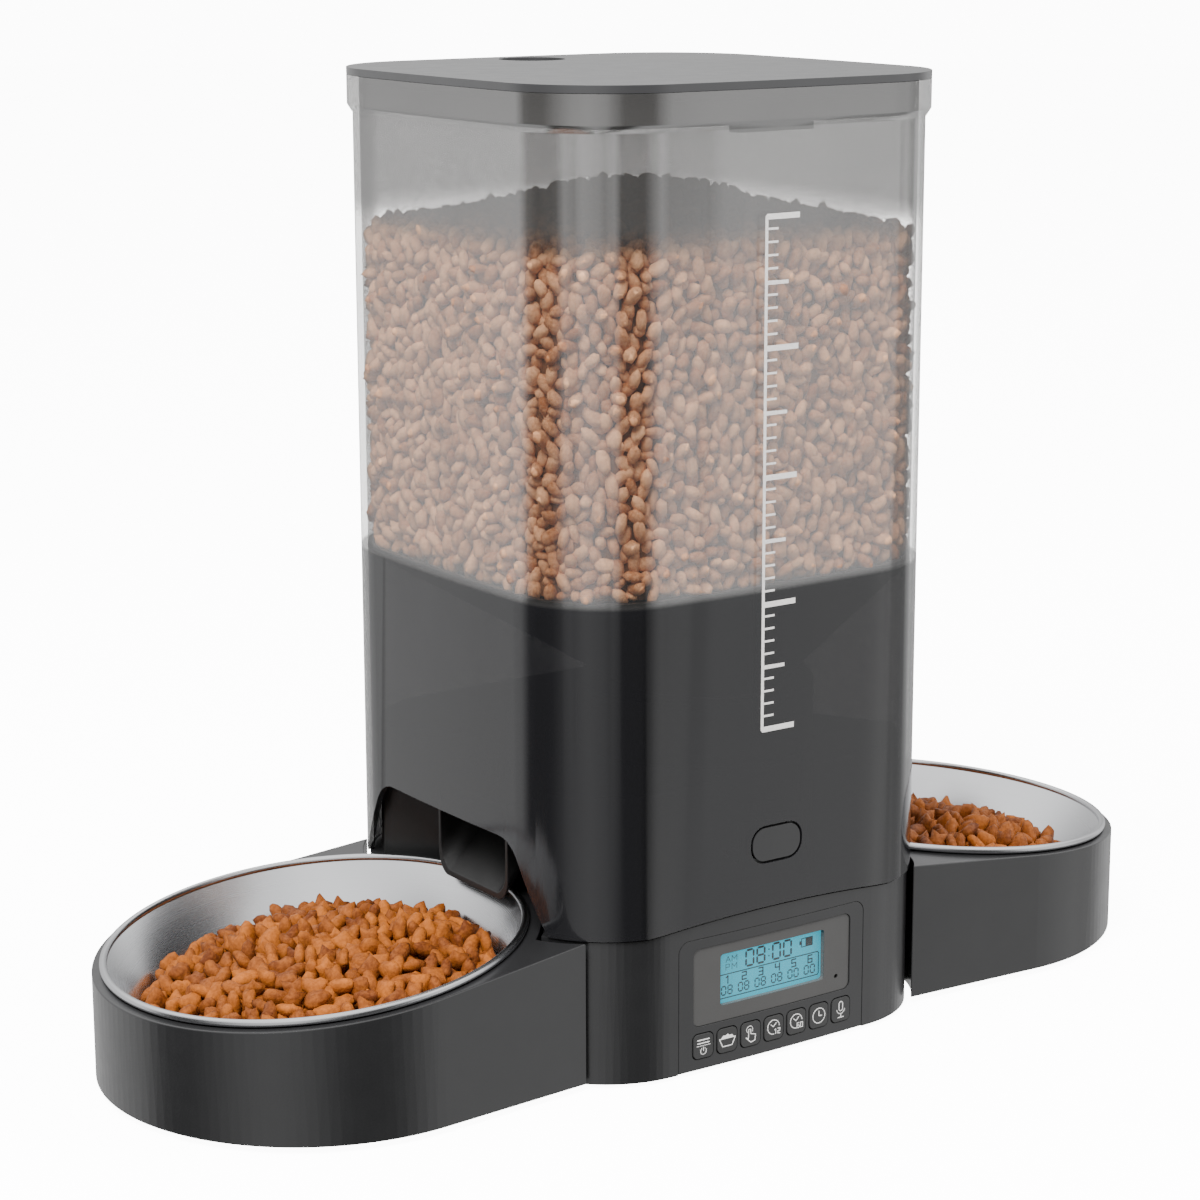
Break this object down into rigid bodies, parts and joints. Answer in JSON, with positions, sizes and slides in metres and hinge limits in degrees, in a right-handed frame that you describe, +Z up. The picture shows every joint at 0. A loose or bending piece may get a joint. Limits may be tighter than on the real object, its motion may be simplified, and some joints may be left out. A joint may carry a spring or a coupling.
{
  "type": "automatic pet feeder",
  "caption": "Free-standing automatic dry-food feeder: square smoke tank with lid on a base with display and keys, and a lean-out steel bowl in a holder fixed to each side.",
  "frame": {"origin": "on the floor under the middle of the feeder", "axes": "+Z up, +X from the left bowl to the right bowl, the display and keys face -Y"},
  "size_m": [0.4006, 0.1612, 0.32],
  "materials": {
    "smoke_tank": "smoke tinted clear plastic, glossy",
    "black_gloss": "satin black moulded plastic",
    "black_inner": "plain black moulding",
    "seal_rubber": "soft grey seal",
    "sachet_fabric": "woven paper sachet",
    "screw_steel": "zinc plated",
    "spring_steel": "nickel plated spring sheet",
    "foot_rubber": "soft foot",
    "cell_metal": "painted or plated can",
    "grey_bezel": "fine grained dark grey",
    "clear_window": "clear pane",
    "display_blue": "backlit blue liquid crystal cell",
    "board_green": "solder mask",
    "key_black": "matte key cap with a printed mark",
    "gear_white": "natural acetal",
    "bowl_steel": "spun stainless steel, bright rolled rim"
  },
  "bodies": {
    "base": {"bowl_holder_left": "black_gloss", "bowl_holder_right": "black_gloss", "holder_feet_left": "foot_rubber", "holder_feet_right": "foot_rubber", "base_housing": "black_gloss", "pedestal": "black_gloss", "chute_left": "black_gloss", "chute_right": "black_gloss", "splitter": "black_inner", "bottom_plate": "black_inner", "base_screws": "screw_steel", "base_feet": "foot_rubber", "battery_tray": "black_inner", "battery_cells": "cell_metal", "battery_contacts": "spring_steel", "fascia_panel": "black_gloss", "display_bezel": "grey_bezel", "display_window": "clear_window", "lcd_module": "display_blue", "control_board": "board_green", "key_switches": "black_inner", "board_chips": "black_inner", "microphone": "screw_steel", "speaker": "black_inner", "usb_inlet": "screw_steel", "gear_plate": "black_inner", "gear_motor": "cell_metal", "latch_catch": "black_inner"},
    "battery_door": {"battery_door": "black_inner"},
    "pinion": {"motor_pinion": "gear_white"},
    "reduction": {"reduction_gear": "gear_white"},
    "output": {"output_gear": "gear_white"},
    "tank": {"tank_shell": "smoke_tank", "tank_funnel": "smoke_tank", "meter_housing": "black_inner", "meter_cover": "black_inner", "release_spring": "spring_steel"},
    "rotor": {"rotor_wheel": "black_inner", "rotor_shaft": "black_inner", "agitator": "black_inner"},
    "release": {"release_button": "smoke_tank"},
    "lid": {"lid_panel": "black_gloss", "lid_seal": "seal_rubber", "desiccant_box": "black_inner", "desiccant_cover": "black_inner", "desiccant_sachet": "sachet_fabric"},
    "bowl_left": {"bowl_left": "bowl_steel"},
    "bowl_right": {"bowl_right": "bowl_steel"},
    "key_meal_power": {"key_meal_power": "key_black"},
    "key_portion": {"key_portion": "key_black"},
    "key_manual_feed": {"key_manual_feed": "key_black"},
    "key_hour": {"key_hour": "key_black"},
    "key_minute": {"key_minute": "key_black"},
    "key_clock": {"key_clock": "key_black"},
    "key_record": {"key_record": "key_black"}
  },
  "joints": [
    {"name": "tank_lift", "type": "slide", "parent": "base", "child": "tank", "axis": [0, 0, 1], "range_m": [0, 0.12]},
    {"name": "lid_lift", "type": "slide", "parent": "tank", "child": "lid", "axis": [0, 0, 1], "range_m": [0, 0.1]},
    {"name": "release_press", "type": "slide", "parent": "tank", "child": "release", "axis": [0, 1, 0], "range_m": [0, 0.0025], "stiffness_N_per_m": 800, "springref_m": -0.001},
    {"name": "rotor_spin", "type": "hinge", "parent": "tank", "child": "rotor", "pos_m": [0, -0.034, 0.11], "axis": [0, 0, 1], "continuous": true},
    {"name": "output_spin", "type": "hinge", "parent": "base", "child": "output", "pos_m": [0, -0.034, 0.088], "axis": [0, 0, 1], "continuous": true},
    {"name": "reduction_spin", "type": "hinge", "parent": "base", "child": "reduction", "pos_m": [-0.01958, -0.04313, 0.088], "axis": [0, 0, 1], "continuous": true},
    {"name": "pinion_spin", "type": "hinge", "parent": "base", "child": "pinion", "pos_m": [-0.03367, -0.05228, 0.088], "axis": [0, 0, 1], "continuous": true},
    {"name": "battery_door_slide", "type": "slide", "parent": "base", "child": "battery_door", "axis": [0, 1, 0], "range_m": [0, 0.007]},
    {"name": "key_meal_power_press", "type": "slide", "parent": "base", "child": "key_meal_power", "axis": [0, 1, 0], "range_m": [0, 0.0008], "stiffness_N_per_m": 500, "springref_m": -0.0005},
    {"name": "key_portion_press", "type": "slide", "parent": "base", "child": "key_portion", "axis": [0, 1, 0], "range_m": [0, 0.0008], "stiffness_N_per_m": 500, "springref_m": -0.0005},
    {"name": "key_manual_feed_press", "type": "slide", "parent": "base", "child": "key_manual_feed", "axis": [0, 1, 0], "range_m": [0, 0.0008], "stiffness_N_per_m": 500, "springref_m": -0.0005},
    {"name": "key_hour_press", "type": "slide", "parent": "base", "child": "key_hour", "axis": [0, 1, 0], "range_m": [0, 0.0008], "stiffness_N_per_m": 500, "springref_m": -0.0005},
    {"name": "key_minute_press", "type": "slide", "parent": "base", "child": "key_minute", "axis": [0, 1, 0], "range_m": [0, 0.0008], "stiffness_N_per_m": 500, "springref_m": -0.0005},
    {"name": "key_clock_press", "type": "slide", "parent": "base", "child": "key_clock", "axis": [0, 1, 0], "range_m": [0, 0.0008], "stiffness_N_per_m": 500, "springref_m": -0.0005},
    {"name": "key_record_press", "type": "slide", "parent": "base", "child": "key_record", "axis": [0, 1, 0], "range_m": [0, 0.0008], "stiffness_N_per_m": 500, "springref_m": -0.0005},
    {"name": "bowl_left_tip", "type": "hinge", "parent": "base", "child": "bowl_left", "pos_m": [-0.05992, 0, 0.05225], "axis": [0, 1, 0], "range_deg": [0, 15]},
    {"name": "bowl_right_tip", "type": "hinge", "parent": "base", "child": "bowl_right", "pos_m": [0.05992, 0, 0.05225], "axis": [0, -1, 0], "range_deg": [0, 15]}
  ],
  "couplings": [
    {"joint": "output_spin", "follows": "rotor_spin", "ratio": 1},
    {"joint": "reduction_spin", "follows": "rotor_spin", "ratio": -0.8},
    {"joint": "pinion_spin", "follows": "rotor_spin", "ratio": 2}
  ]
}
